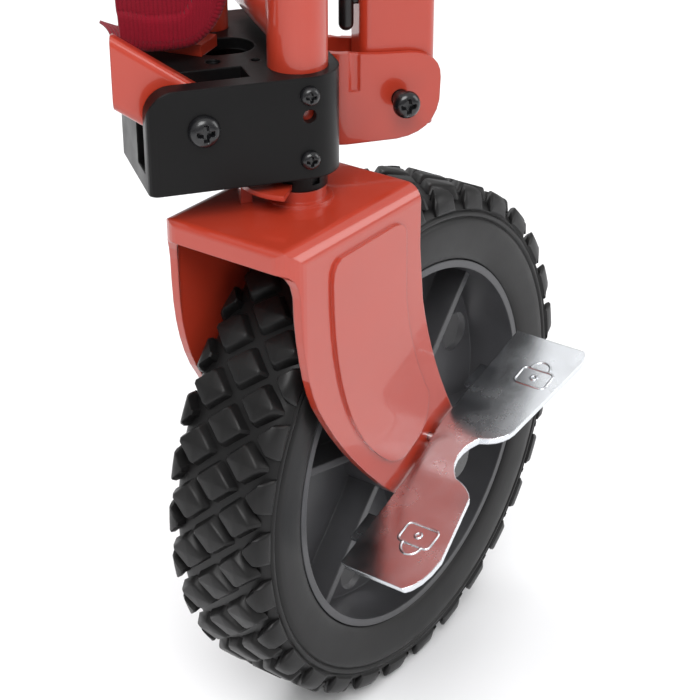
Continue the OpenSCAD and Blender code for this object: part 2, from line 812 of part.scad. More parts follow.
module inner_post() {
    post_r = 6;
    color(paint)
    at_frame() translate([post[0], post[1], 0])
    difference() {
        union() {
            translate([0, 0, bracket_top + 0.02])
                cylinder(r = post_r, h = upright_top - bracket_top, $fn = fine);
            translate([0, 0, bracket_top - 3.5]) cylinder(r = spigot_r, h = 4, $fn = fine);
        }
        translate([0, 0, bracket_top + 3])
            cylinder(r = post_r - tube_t, h = upright_top, $fn = fine);
    }
}

brace_h = 4;

module floor_brace() {
    brace_w = 12;
    brace_l = 33;
    color(paint)
    at_frame() translate([brace_start[0], brace_start[1], bracket_top + 0.02]) rotate([0, 0, 140])
    difference() {
        translate([0, -brace_w / 2, 0]) cube([brace_l, brace_w, brace_h]);
        translate([7.8, 0, -1]) cylinder(r = 2 + seat_gap, h = 8, $fn = fine);
    }
}

module brace_rivet() {
    color(zinc)
    at_frame() translate([brace_pin[0], brace_pin[1], bracket_top]) {
        translate([0, 0, -3.6]) cylinder(r = 2, h = brace_h + 3.7, $fn = fine);
        translate([0, 0, brace_h + 0.05]) cylinder(r1 = 3.8, r2 = 2.4, h = 1.4, $fn = fine);
    }
}

// The liner's lower corner: a rounded roll of cloth that laps round the inner post.
module fabric_corner() {
    low = bracket_low + 42;
    high = upright_top - 5;
    left = -57;
    right = -21;
    front = 9;
    depth = 29;
    color("#7d0a22")
    at_frame() {
        intersection() {
            xz_extrude(front, depth)
                polygon(concat(
                    [[left, high], [left, low + 6]],
                    bend([left, low + 6], [left + 3, low], [left + 14, low], 5),
                    bend([right - 10, low], [right - 3, low + 1], [right, low + 14], 5),
                    [[right, low + 14], [right + 2, high]]
                ));
            translate([left, front, low - 5]) rotate([0, 0, -18]) translate([0, -20, 0]) cube([90, 90, 60]);
        }
        difference() {
            translate([post[0] - 1, post[1] - 1, low + 8]) cylinder(r = 9, h = high - low - 8, $fn = fine);
            translate([post[0], post[1], low]) cylinder(r = 6.3, h = 60, $fn = fine);
        }
    }
}

// ---- Handle ----

clevis_gap = handle_t + 1;
clevis_out = clevis_gap / 2 + clevis_t;
handle_x = 43.3;
handle_pivot = [42.7, clevis_low + 14.9];

module clevis_plate_shape()
    polygon(concat(
        [[0, 0]],
        bend([clevis_l - 16, 0], [clevis_l, 1], [clevis_l, 17], 7),
        bend([clevis_l, clevis_h - 12], [clevis_l, clevis_h - 3], [clevis_l - 11, clevis_h - 2], 6),
        bend([clevis_l - 11, clevis_h - 2], [6, clevis_h - 1.5], [0, clevis_h], 5),
        [[0, clevis_h]]
    ));

module handle_clevis() {
    groove_r = 3;
    color(paint)
    at_frame() translate([clevis_mid, clevis_y, clevis_low])
    difference() {
        union() {
            for (y = [-clevis_out, clevis_out - clevis_t])
                xz_extrude(y, clevis_t) clevis_plate_shape();
            intersection() {
                difference() {
                    cylinder(r = clevis_out, h = clevis_h, $fn = fine);
                    translate([0, 0, -eps]) cylinder(r = clevis_out - clevis_t, h = clevis_h + 1, $fn = fine);
                }
                translate([-clevis_out - 1, -clevis_out - 1, 0])
                    cube([clevis_out + 1, 2 * clevis_out + 2, clevis_h]);
            }
        }
        // upright grooves pressed beside the round back
        for (side = [-1, 1])
            translate([2, side * (clevis_out + groove_r - 0.9), clevis_h - 14])
                cylinder(r = groove_r, h = 20, $fn = fine);
        translate([handle_pivot[0] - clevis_mid, 0, handle_pivot[1] - clevis_low])
            y_cylinder(m6_hole, -20, 40);
        for (z = clevis_screw_z)
            translate([0, 0, z - clevis_low]) x_cylinder(m4_hole, -clevis_out - 1, clevis_out);
    }
}

module clevis_screws() {
    back_in = clevis_mid - clevis_out + clevis_t + 1;
    color(dark_steel)
    at_frame()
    for (z = clevis_screw_z)
        translate([0, clevis_y, z]) {
            x_cylinder(2, barrel_r - bracket_t - 4, back_in - barrel_r + bracket_t + 4.1);
            x_cylinder(3.5, back_in, 2.4);
        }
}

module clevis_nuts() {
    color(zinc)
    at_frame()
    for (z = clevis_screw_z)
        translate([0, clevis_y, z])
        difference() {
            translate([barrel_r - bracket_t - 3 - seat_gap, 0, 0]) rotate([0, 90, 0])
                cylinder(r = 4, h = 3, $fn = 6);
            x_cylinder(2 + seat_gap, barrel_r - bracket_t - 5, 8);
        }
}

module handle_tube() {
    handle_low = clevis_low + 3;
    wall = 1.5;
    color(paint)
    at_frame() translate([handle_x, clevis_y, 0])
    difference() {
        translate([0, 0, handle_low]) linear_extrude(upright_top - handle_low)
            round_rect(handle_w, handle_t, 3.5);
        translate([0, 0, handle_low - 1]) linear_extrude(upright_top)
            round_rect(handle_w - 2 * wall, handle_t - 2 * wall, 2);
        translate([handle_pivot[0] - handle_x, 0, handle_pivot[1]]) y_cylinder(4.6, -20, 40);
    }
}

module handle_bush() {
    color(black_plastic)
    at_frame() translate([handle_pivot[0], clevis_y, handle_pivot[1]])
        y_ring(4.55, 3 + run_gap, -handle_t / 2 - 0.1, handle_t + 0.2);
}

module handle_bolt() {
    color(dark_steel)
    at_frame() translate([handle_pivot[0], clevis_y - clevis_out, handle_pivot[1]]) {
        cross_head(4.9, 3.2);
        y_cylinder(3, -0.1, 2 * clevis_out + 6.5);
    }
}

module handle_nut() {
    color(zinc)
    at_frame() translate([handle_pivot[0], clevis_y + clevis_out + seat_gap, handle_pivot[1]])
    difference() {
        rotate([-90, 0, 0]) cylinder(r = 5.7, h = 5, $fn = 6);
        y_cylinder(3 + seat_gap, -1, 8);
    }
}

// Rubber stop on the back of the handle tube, with round ends.
module handle_bumper() {
    bump_r = 2.6;
    bump_low = clevis_low + 41;
    bump_l = 16;
    color(black_plastic)
    at_frame() translate([handle_x - handle_w / 2 - bump_r - 1.4, clevis_y - 2, bump_low]) {
        cylinder(r = bump_r, h = bump_l, $fn = 32);
        for (z = [0, bump_l]) translate([0, 0, z]) sphere(r = bump_r, $fn = 32);
        translate([0, 0, bump_l / 2]) x_cylinder(1.6, 0, bump_r + 1.38);
    }
}

tyre();
rim();
wheel_bearings();
bearing_spacer();
fork();
axle_bolt();
axle_nut();
axle_sleeves();
swivel_stem();
stem_washer();
stem_clip();
swivel_lock_plate();
brake_pedal();
pedal_washer();
brake_lock_ring();
corner_bracket();
upright_tube();
lower_bush();
upper_bush();
bracket_screws();
side_link();
link_bush();
link_bolt();
link_nut();
front_cross_tube();
inner_post();
floor_brace();
brace_rivet();
fabric_corner();
handle_clevis();
clevis_screws();
clevis_nuts();
handle_tube();
handle_bush();
handle_bolt();
handle_nut();
handle_bumper();
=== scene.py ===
import json
from math import cos, hypot, pi, radians, sin, sqrt

import bmesh
import bpy
from bpy.props import (
    FloatProperty,
    FloatVectorProperty,
    IntProperty,
    PointerProperty,
)
from mathutils import Matrix, Vector


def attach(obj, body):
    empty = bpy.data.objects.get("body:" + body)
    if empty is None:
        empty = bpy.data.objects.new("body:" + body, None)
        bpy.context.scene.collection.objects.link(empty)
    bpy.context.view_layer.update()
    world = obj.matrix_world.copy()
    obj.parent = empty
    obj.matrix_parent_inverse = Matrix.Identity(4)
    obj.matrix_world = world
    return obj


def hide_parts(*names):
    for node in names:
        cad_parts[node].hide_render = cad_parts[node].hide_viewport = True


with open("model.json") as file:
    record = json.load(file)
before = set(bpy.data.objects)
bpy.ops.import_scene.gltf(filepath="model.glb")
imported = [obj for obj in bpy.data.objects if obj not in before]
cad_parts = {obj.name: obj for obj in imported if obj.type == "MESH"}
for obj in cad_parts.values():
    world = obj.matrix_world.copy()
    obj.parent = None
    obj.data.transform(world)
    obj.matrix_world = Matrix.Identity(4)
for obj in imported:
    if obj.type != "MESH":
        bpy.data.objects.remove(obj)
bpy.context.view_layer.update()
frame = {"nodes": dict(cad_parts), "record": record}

bl_info = {
    "name": "Wagon corner finishes",
    "version": (1, 0, 0),
    "blender": (4, 5, 0),
    "location": "3D View > Sidebar > Wagon",
    "description": "Detailed tyre, screws, brake marks, liner cloth and finishes for a wagon corner",
    "category": "Object",
}

MM = 0.001
NODES = frame["nodes"]
AXLE = Vector((0.046, 0.0, -0.195))     # wheel centre
AXLE_HEIGHT = 195.0                     # heights on the corner are measured from the axle, in mm
CORNER_TURN = radians(-36)              # the wagon's side, seen from above
SLOT_OF = {row["node"]: row["material_slot"] for row in frame["record"]["subparts"]}

TYRE_R = 100.0              # outer radius of the tread, in mm
BARREL_R = 13.5             # outer radius of the bracket round the upright tube, in mm
CLEVIS_Y = 30.5             # middle of the handle's clevis across the corner, in mm
SCREW_TURNS = 96            # points round a screw
TYRE_TURNS = 240            # points round the tyre
CLOTH_COLUMNS = 221         # columns of points along the cloth's edge
GUSSET_ROWS = 13
ROLL_ROWS = 8
FRONT_ROWS = 30


# ---- Places and meshes ----

def at_corner(x, y, z):
    """A point given along the wagon's side, across it and above the axle, in mm."""
    c, s = cos(CORNER_TURN), sin(CORNER_TURN)
    return Vector((x * c - y * s, x * s + y * c, z - AXLE_HEIGHT)) * MM


def at_wheel(x, y, z):
    """A point given from the wheel's centre, in mm."""
    return AXLE + Vector((x, y, z)) * MM


def smooth_step(low, high, value):
    t = min(max((value - low) / (high - low), 0.0), 1.0)
    return t * t * (3 - 2 * t)


def new_object(name, mesh):
    obj = bpy.data.objects.new(name, mesh)
    bpy.context.scene.collection.objects.link(obj)
    return obj


def shade(mesh, angle=35):
    mesh.polygons.foreach_set("use_smooth", [True] * len(mesh.polygons))
    mesh.set_sharp_from_angle(angle=radians(angle))
    mesh.update()


def mesh_from(name, points, faces, outward=True):
    mesh = bpy.data.meshes.new(name)
    mesh.from_pydata([tuple(p) for p in points], [], faces)
    mesh.validate()
    if outward:
        bm = bmesh.new()
        bm.from_mesh(mesh)
        bmesh.ops.remove_doubles(bm, verts=bm.verts, dist=1e-7)
        bmesh.ops.recalc_face_normals(bm, faces=bm.faces)
        bm.to_mesh(mesh)
        bm.free()
    return mesh


def grid_faces(rows, cols, wrap_rows=False, wrap_cols=False, start=0):
    faces = []
    for i in range(rows if wrap_rows else rows - 1):
        for j in range(cols if wrap_cols else cols - 1):
            a, b = i * cols + j, i * cols + (j + 1) % cols
            c, d = (i + 1) % rows * cols + (j + 1) % cols, (i + 1) % rows * cols + j
            faces.append([start + k for k in (a, b, c, d)])
    return faces


def finish_piece(obj, body, material, replaced=()):
    """Gives a piece its material and body, and hides the CAD nodes it stands for."""
    obj.data.materials.clear()
    obj.data.materials.append(material)
    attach(obj, body)
    if replaced:
        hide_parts(*replaced)
    return obj


# ---- Node trees ----

def link(tree, source, target):
    tree.links.new(source, target)


def node(tree, kind, x=0, y=0, **values):
    made = tree.nodes.new(kind)
    made.location = (x, y)
    for key, value in values.items():
        setattr(made, key, value)
    return made


def math_node(tree, operation, first, second=None, clamp=False):
    made = node(tree, "ShaderNodeMath", operation=operation, use_clamp=clamp)
    for socket, value in zip(made.inputs, (first, second)):
        if value is None:
            continue
        if isinstance(value, (int, float)):
            socket.default_value = value
        else:
            link(tree, value, socket)
    return made.outputs[0]


def ramp(tree, value, low, high, to_low=0.0, to_high=1.0):
    made = node(tree, "ShaderNodeMapRange", clamp=True)
    for name, number in (("From Min", low), ("From Max", high),
                         ("To Min", to_low), ("To Max", to_high)):
        if isinstance(number, (int, float)):
            made.inputs[name].default_value = number
        else:
            link(tree, number, made.inputs[name])
    link(tree, value, made.inputs["Value"])
    return made.outputs["Result"]


def group(name, kind, inputs, outputs):
    """An empty node group with named inputs (name, socket type, default) and outputs."""
    tree = bpy.data.node_groups.new(name, kind)
    for label, socket_type, default in inputs:
        socket = tree.interface.new_socket(name=label, in_out="INPUT", socket_type=socket_type)
        if default is not None:
            socket.default_value = default
    for label, socket_type in outputs:
        tree.interface.new_socket(name=label, in_out="OUTPUT", socket_type=socket_type)
    return tree, node(tree, "NodeGroupInput", -600), node(tree, "NodeGroupOutput", 600)


def grain_group():
    """Fine moulded or sprayed texture: a height for bump and a slow mottle for colour and gloss."""
    tree, src, out = group(
        "Surface Grain", "ShaderNodeTree",
        [("Fine Scale", "NodeSocketFloat", 900.0), ("Mottle Scale", "NodeSocketFloat", 40.0)],
        [("Height", "NodeSocketFloat"), ("Mottle", "NodeSocketFloat")])
    coords = node(tree, "ShaderNodeTexCoord", -400)
    fine = node(tree, "ShaderNodeTexNoise", -200)
    fine.inputs["Detail"].default_value = 3.0
    slow = node(tree, "ShaderNodeTexNoise", -200, -300)
    slow.inputs["Detail"].default_value = 4.0
    slow.inputs["Roughness"].default_value = 0.6
    for noise, scale in ((fine, "Fine Scale"), (slow, "Mottle Scale")):
        link(tree, coords.outputs["Object"], noise.inputs["Vector"])
        link(tree, src.outputs[scale], noise.inputs["Scale"])
    link(tree, fine.outputs["Fac"], out.inputs["Height"])
    link(tree, ramp(tree, slow.outputs["Fac"], 0.3, 0.7), out.inputs["Mottle"])
    return tree


def dust_group():
    """Where fine dust settles: on faces that look up, broken up by a noise."""
    tree, src, out = group(
        "Settled Dust", "ShaderNodeTree",
        [("Amount", "NodeSocketFloat", 0.2), ("Patch Scale", "NodeSocketFloat", 60.0)],
        [("Dust", "NodeSocketFloat")])
    coords = node(tree, "ShaderNodeTexCoord", -400)
    split = node(tree, "ShaderNodeSeparateXYZ", -200)
    link(tree, coords.outputs["Normal"], split.inputs[0])
    patch = node(tree, "ShaderNodeTexNoise", -200, -200)
    patch.inputs["Detail"].default_value = 5.0
    link(tree, coords.outputs["Object"], patch.inputs["Vector"])
    link(tree, src.outputs["Patch Scale"], patch.inputs["Scale"])
    up = ramp(tree, split.outputs["Z"], -0.4, 1.0, 0.25, 1.0)
    spots = ramp(tree, patch.outputs["Fac"], 0.4, 0.75)
    both = math_node(tree, "MULTIPLY", up, spots)
    link(tree, math_node(tree, "MULTIPLY", both, src.outputs["Amount"]), out.inputs["Dust"])
    return tree


def rib_group():
    """Knitted ribs and the fine yarn across them, from a map laid out in metres; the same wave also
    goes out as Shade, painted shade and light for the cloth's colour.
    """
    tree, src, out = group(
        "Rib Knit", "ShaderNodeTree",
        [("Rib Pitch", "NodeSocketFloat", 0.0015), ("Yarn Pitch", "NodeSocketFloat", 0.0005)],
        [("Height", "NodeSocketFloat"), ("Shade", "NodeSocketFloat")])
    uv = node(tree, "ShaderNodeUVMap", -400, uv_map="flat")
    split = node(tree, "ShaderNodeSeparateXYZ", -200)
    link(tree, uv.outputs[0], split.inputs[0])

    def wave(value, pitch):
        turns = math_node(tree, "DIVIDE", value, pitch)
        angle = math_node(tree, "MULTIPLY", turns, 2 * pi)
        return math_node(tree, "MULTIPLY_ADD", math_node(tree, "COSINE", angle), 0.5)

    ribs = math_node(tree, "ADD", wave(split.outputs["X"], src.outputs["Rib Pitch"]), 0.5)
    yarn = math_node(tree, "ADD", wave(split.outputs["Y"], src.outputs["Yarn Pitch"]), 0.5)
    knit = math_node(tree, "ADD", math_node(tree, "MULTIPLY", ribs, 0.7),
                     math_node(tree, "MULTIPLY", yarn, 0.3))
    link(tree, knit, out.inputs["Height"])
    # Shade is painted light and shade: darker cloth colour in the rib valleys, lighter on the rib
    # tops
    link(tree, knit, out.inputs["Shade"])
    return tree


GROUPS = {}


def shared(name, maker):
    if name not in GROUPS:
        GROUPS[name] = maker()
    return GROUPS[name]


def finish(name, color, roughness, metallic=0.0, coat=0.0, coat_roughness=0.1, fine=900.0,
           bump=0.1, bump_depth=0.00005, mottle=40.0, color_shift=0.12, gloss_shift=0.12,
           dust=0.0, dust_color=(0.30, 0.27, 0.24), edge=0.0004, sheen=0.0, specular=0.5):
    """A material with grain, mottled colour and gloss, settled dust and softened edges."""
    mat = bpy.data.materials.new(name)
    mat.use_nodes = True
    tree = mat.node_tree
    shader = tree.nodes["Principled BSDF"]
    shader.inputs["Metallic"].default_value = metallic
    shader.inputs["Coat Weight"].default_value = coat
    shader.inputs["Coat Roughness"].default_value = coat_roughness
    shader.inputs["Sheen Weight"].default_value = sheen
    shader.inputs["Specular IOR Level"].default_value = specular
    grain = node(tree, "ShaderNodeGroup", -700, node_tree=shared("grain", grain_group))
    grain.inputs["Fine Scale"].default_value = fine
    grain.inputs["Mottle Scale"].default_value = mottle
    shades = node(tree, "ShaderNodeMix", -400, data_type="RGBA")
    shades.inputs[6].default_value = (*(c * (1 - color_shift) for c in color), 1)
    shades.inputs[7].default_value = (*(min(c * (1 + color_shift), 1) for c in color), 1)
    link(tree, grain.outputs["Mottle"], shades.inputs[0])
    gloss = ramp(tree, grain.outputs["Mottle"], 0, 1,
                 roughness * (1 - gloss_shift), roughness * (1 + gloss_shift))
    tint = shades.outputs[2]
    if dust:
        settled = node(tree, "ShaderNodeGroup", -700, -300, node_tree=shared("dust", dust_group))
        settled.inputs["Amount"].default_value = dust
        over = node(tree, "ShaderNodeMix", -200, data_type="RGBA")
        over.inputs[7].default_value = (*dust_color, 1)
        link(tree, settled.outputs["Dust"], over.inputs[0])
        link(tree, tint, over.inputs[6])
        tint = over.outputs[2]
        gloss = math_node(tree, "ADD", gloss, math_node(tree, "MULTIPLY",
                                                       settled.outputs["Dust"], 0.5), clamp=True)
    link(tree, tint, shader.inputs["Base Color"])
    link(tree, gloss, shader.inputs["Roughness"])
    relief = node(tree, "ShaderNodeBump", -200, -500)
    relief.inputs["Strength"].default_value = bump
    relief.inputs["Distance"].default_value = bump_depth
    link(tree, grain.outputs["Height"], relief.inputs["Height"])
    if edge:
        rounding = node(tree, "ShaderNodeBevel", -400, -700, samples=4)
        rounding.inputs["Radius"].default_value = edge
        link(tree, rounding.outputs[0], relief.inputs["Normal"])
    link(tree, relief.outputs[0], shader.inputs["Normal"])
    return mat


def cloth_finish(color):
    """Crimson rib knit with painted shade in the rib valleys, painted light on the rib tops, and a
    soft fuzz.
    """
    mat = finish("crimson_fabric", color, 0.85, fine=2500.0, bump=0.25, color_shift=0.1,
                 edge=0.0, sheen=0.08, specular=0.2)
    tree = mat.node_tree
    shader = tree.nodes["Principled BSDF"]
    shader.inputs["Sheen Roughness"].default_value = 0.4
    knit = node(tree, "ShaderNodeGroup", -700, -600, node_tree=shared("rib", rib_group))
    old = shader.inputs["Base Color"].links[0].from_socket
    # painted shade and light: the knit wave scales the colour from 0.45 in the valleys to 1.15 on the
    # rib tops
    painted_rib_shade_mix = node(tree, "ShaderNodeMix", -100, data_type="RGBA", blend_type="MULTIPLY")
    painted_rib_shade_mix.inputs[0].default_value = 1.0
    painted_rib_shade_color = node(tree, "ShaderNodeCombineColor", -300)
    level = ramp(tree, knit.outputs["Shade"], 0, 1, 0.45, 1.15)
    for socket in painted_rib_shade_color.inputs:
        link(tree, level, socket)
    link(tree, old, painted_rib_shade_mix.inputs[6])
    link(tree, painted_rib_shade_color.outputs[0], painted_rib_shade_mix.inputs[7])
    link(tree, painted_rib_shade_mix.outputs[2], shader.inputs["Base Color"])
    relief = node(tree, "ShaderNodeBump", 0, -500)
    relief.inputs["Strength"].default_value = 0.6
    relief.inputs["Distance"].default_value = 0.0003
    link(tree, knit.outputs["Height"], relief.inputs["Height"])
    link(tree, shader.inputs["Normal"].links[0].from_socket, relief.inputs["Normal"])
    link(tree, relief.outputs[0], shader.inputs["Normal"])
    return mat


MATERIALS = {}


def material(slot):
    """The finish of one of the record's material slots, made when it is first asked for."""
    if slot in MATERIALS:
        return MATERIALS[slot]
    look = bpy.context.scene.wagon_finishes
    makers = {
        "red_paint": lambda: finish(
            slot, look.paint, 0.33, coat=0.7, coat_roughness=0.05, fine=420, bump=0.08,
            mottle=18, color_shift=0.05, dust=0.02, dust_color=(0.55, 0.3, 0.25), edge=0.0009,
            specular=0.4),
        "black_plastic": lambda: finish(
            slot, look.plastic, 0.36, fine=1500, bump=0.25, mottle=55, color_shift=0.2,
            gloss_shift=0.2, dust=0.04, dust_color=(0.04, 0.036, 0.036), edge=0.0008,
            specular=0.16),
        "grey_plastic": lambda: finish(
            slot, look.rim, 0.42, fine=1300, bump=0.25, mottle=45, color_shift=0.15,
            dust=0.08, dust_color=(0.15, 0.14, 0.14), edge=0.0008, specular=0.45),
        "black_rubber": lambda: finish(
            slot, look.plastic, 0.35, fine=1200, bump=0.15, mottle=60, color_shift=0.15),
        "tyre": lambda: finish(
            slot, look.tyre, 0.42, fine=1100, bump=0.3, bump_depth=0.00008, mottle=50,
            color_shift=0.2, gloss_shift=0.15, dust=0.08, dust_color=(0.05, 0.045, 0.042),
            specular=0.24),
        "zinc": lambda: finish(
            slot, look.zinc, 0.24, metallic=1.0, fine=70, bump=0.1, bump_depth=0.0008,
            mottle=70, color_shift=0.04, gloss_shift=0.25, edge=0.0006),
        "steel": lambda: finish(
            slot, (0.55, 0.56, 0.58), 0.3, metallic=1.0, fine=700, bump=0.15, mottle=70,
            color_shift=0.1, gloss_shift=0.3),
        "dark_steel": lambda: finish(
            slot, (0.006, 0.006, 0.007), 0.24, coat=0.15, fine=600, bump=0.1, mottle=80,
            color_shift=0.2, gloss_shift=0.3, specular=0.45),
        "crimson_fabric": lambda: cloth_finish(look.cloth),
    }
    MATERIALS[slot] = makers[slot]()
    return MATERIALS[slot]


# ---- Geometry Nodes ----

def ring_tree():
    """Copies of a piece in a ring about an axle that lies along Y."""
    tree, src, out = group(
        "Ring About An Axle", "GeometryNodeTree",
        [("Geometry", "NodeSocketGeometry", None), ("Count", "NodeSocketInt", 30),
         ("Step Angle", "NodeSocketFloat", 0.2), ("Start Angle", "NodeSocketFloat", 0.0),
         ("Centre", "NodeSocketVector", (0.0, 0.0, 0.0)),
         ("Material", "NodeSocketMaterial", None)],
        [("Geometry", "NodeSocketGeometry")])
    points = node(tree, "GeometryNodePoints", -300)
    index = node(tree, "GeometryNodeInputIndex", -500, -200)
    turned = math_node(tree, "MULTIPLY", index.outputs[0], src.outputs["Step Angle"])
    angle = math_node(tree, "ADD", turned, src.outputs["Start Angle"])
    about_y = node(tree, "ShaderNodeCombineXYZ", -100, -200)
    link(tree, math_node(tree, "MULTIPLY", angle, -1.0), about_y.inputs["Y"])
    copies = node(tree, "GeometryNodeInstanceOnPoints", 0)
    place = node(tree, "GeometryNodeTransform", 150)
    real = node(tree, "GeometryNodeRealizeInstances", 300)
    paint = node(tree, "GeometryNodeSetMaterial", 450)
    link(tree, src.outputs["Count"], points.inputs["Count"])
    link(tree, points.outputs[0], copies.inputs["Points"])
    link(tree, src.outputs["Geometry"], copies.inputs["Instance"])
    link(tree, about_y.outputs[0], copies.inputs["Rotation"])
    link(tree, copies.outputs[0], place.inputs["Geometry"])
    link(tree, src.outputs["Centre"], place.inputs["Translation"])
    link(tree, place.outputs[0], real.inputs[0])
    link(tree, real.outputs[0], paint.inputs["Geometry"])
    link(tree, src.outputs["Material"], paint.inputs["Material"])
    link(tree, paint.outputs[0], out.inputs[0])
    return tree


def row_tree():
    """Copies of a piece in a straight, even row."""
    tree, src, out = group(
        "Even Row", "GeometryNodeTree",
        [("Geometry", "NodeSocketGeometry", None), ("Count", "NodeSocketInt", 2),
         ("Start", "NodeSocketVector", (0.0, 0.0, 0.0)),
         ("Step", "NodeSocketVector", (0.0, 0.0, 0.01)),
         ("Material", "NodeSocketMaterial", None)],
        [("Geometry", "NodeSocketGeometry")])
    row = node(tree, "GeometryNodeMeshLine", -300, mode="OFFSET")
    copies = node(tree, "GeometryNodeInstanceOnPoints", 0)
    real = node(tree, "GeometryNodeRealizeInstances", 300)
    paint = node(tree, "GeometryNodeSetMaterial", 450)
    link(tree, src.outputs["Count"], row.inputs["Count"])
    link(tree, src.outputs["Start"], row.inputs["Start Location"])
    link(tree, src.outputs["Step"], row.inputs["Offset"])
    link(tree, row.outputs[0], copies.inputs["Points"])
    link(tree, src.outputs["Geometry"], copies.inputs["Instance"])
    link(tree, copies.outputs[0], real.inputs[0])
    link(tree, real.outputs[0], paint.inputs["Geometry"])
    link(tree, src.outputs["Material"], paint.inputs["Material"])
    link(tree, paint.outputs[0], out.inputs[0])
    return tree


def stitch_tree():
    """Stitches laid end to end along a line."""
    tree, src, out = group(
        "Stitches On A Line", "GeometryNodeTree",
        [("Geometry", "NodeSocketGeometry", None), ("Count", "NodeSocketInt", 12),
         ("Length", "NodeSocketFloat", 0.0012), ("Thread", "NodeSocketFloat", 0.0003),
         ("Material", "NodeSocketMaterial", None)],
        [("Geometry", "NodeSocketGeometry")])
    curve = node(tree, "GeometryNodeMeshToCurve", -400)
    points = node(tree, "GeometryNodeCurveToPoints", -200, mode="COUNT")
    bead = node(tree, "GeometryNodeMeshIcoSphere", -200, -300)
    bead.inputs["Radius"].default_value = 1.0
    bead.inputs["Subdivisions"].default_value = 2
    size = node(tree, "ShaderNodeCombineXYZ", -200, -500)
    copies = node(tree, "GeometryNodeInstanceOnPoints", 0)
    real = node(tree, "GeometryNodeRealizeInstances", 300)
    paint = node(tree, "GeometryNodeSetMaterial", 450)
    link(tree, src.outputs["Geometry"], curve.inputs[0])
    link(tree, curve.outputs[0], points.inputs[0])
    link(tree, src.outputs["Count"], points.inputs["Count"])
    for axis, name in (("X", "Thread"), ("Y", "Thread"), ("Z", "Length")):
        link(tree, src.outputs[name], size.inputs[axis])
    link(tree, points.outputs["Points"], copies.inputs["Points"])
    link(tree, bead.outputs["Mesh"], copies.inputs["Instance"])
    link(tree, points.outputs["Rotation"], copies.inputs["Rotation"])
    link(tree, size.outputs[0], copies.inputs["Scale"])
    link(tree, copies.outputs[0], real.inputs[0])
    link(tree, real.outputs[0], paint.inputs["Geometry"])
    link(tree, src.outputs["Material"], paint.inputs["Material"])
    link(tree, paint.outputs[0], out.inputs[0])
    return tree


def grown(name, mesh, tree, values):
    """Runs a geometry tree on a mesh and gives the result as a plain object."""
    seed = new_object(name + "_seed", mesh)
    modifier = seed.modifiers.new("Copies", "NODES")
    modifier.node_group = tree
    sockets = {s.name: s.identifier for s in tree.interface.items_tree if s.in_out == "INPUT"}
    for label, value in values.items():
        modifier[sockets[label]] = value
    bpy.context.view_layer.update()
    whole = seed.evaluated_get(bpy.context.evaluated_depsgraph_get())
    result = bpy.data.meshes.new_from_object(whole)
    seed.modifiers.clear()
    bpy.data.objects.remove(seed)
    if len(result.polygons) == 0:
        raise RuntimeError(name + " came out empty")
    result.name = name
    return new_object(name, result)


def joined(*parts):
    """One list of points and faces from several."""
    points, faces = [], []
    for part_points, part_faces in parts:
        faces += [[k + len(points) for k in face] for face in part_faces]
        points += list(part_points)
    return points, faces


# ---- Tyre ----

def on_tread(around, across, radius):
    """A tread point: mm round the tyre, mm across it and its radius, about the axle."""
    angle = around / TYRE_R
    return Vector((radius * cos(angle), across, radius * sin(angle))) * MM


def tread_block(around, across, half_around, half_across, top, base):
    """A four-cornered lug whose sides slope down, with a rounded top edge."""
    def ring(grow, radius, cut):
        a, b = half_around + grow, half_across + grow
        corners = []
        for sx, sy in ((1, 0), (0, 1), (-1, 0), (0, -1)):
            turn = 1 if sx else -1
            for side in (-1, 1):
                k = side * turn * (sx + sy)
                corners.append((around + sx * (a - cut) + (0 if sx else k * cut * a / b),
                                across + sy * (b - cut) + (k * cut * b / a if sx else 0)))
        return [on_tread(u, v, radius) for u, v in corners]
    rings = [ring(2.9, base, 0.7), ring(1.1, top - 0.9, 0.7), ring(0.6, top - 0.3, 0.7),
             ring(0.1, top, 0.8)]
    points = [p for r in rings for p in r]
    faces = grid_faces(len(rings), 8, wrap_cols=True)
    points.append(on_tread(around, across, top))
    hub = len(points) - 1
    last = (len(rings) - 1) * 8
    faces += [[last + k, last + (k + 1) % 8, hub] for k in range(8)]
    faces.append([7 - k for k in range(8)])
    return points, faces


def shoulder_lug(around, side):
    """A lug on the tyre's shoulder: a half diamond that widens into the side wall."""
    rows = [(13.6, 95.0, 1.6), (14.3, 99.2, 0.9), (14.8, 99.6, 1.1), (16.2, 99.5, 3.0),
            (18.0, 99.0, 5.4), (19.2, 98.0, 6.0), (20.1, 96.3, 6.1), (20.75, 94.0, 6.3),
            (20.8, 92.4, 6.5)]
    steps = [-1.0, -0.93, -0.8, 0, 0.8, 0.93, 1.0]
    drop = [2.6, 0.5, 0.0, 0, 0.0, 0.5, 2.6]
    points = []
    for across, radius, half in rows:
        for step, fall in zip(steps, drop):
            points.append(on_tread(around + step * (half + (0.5 if fall > 1 else 0)),
                                   side * across, max(radius - fall, 91.8)))
    cols, count = len(steps), len(rows)
    faces = grid_faces(count, cols)
    base = len(points)
    for across, radius, half in rows:
        for step in (-1.0, 1.0):
            points.append(on_tread(around + step * (half + 0.5), side * min(across, 19.4), 91.5))
    for i in range(count - 1):
        for edge, offset in ((0, 0), (cols - 1, 1)):
            faces.append([i * cols + edge, (i + 1) * cols + edge,
                          base + 2 * (i + 1) + offset, base + 2 * i + offset])
        faces.append([base + 2 * i, base + 2 * i + 1, base + 2 * i + 3, base + 2 * i + 2])
    for i in (0, count - 1):
        faces.append([i * cols + k for k in range(cols)] + [base + 2 * i + 1, base + 2 * i])
    return points, faces


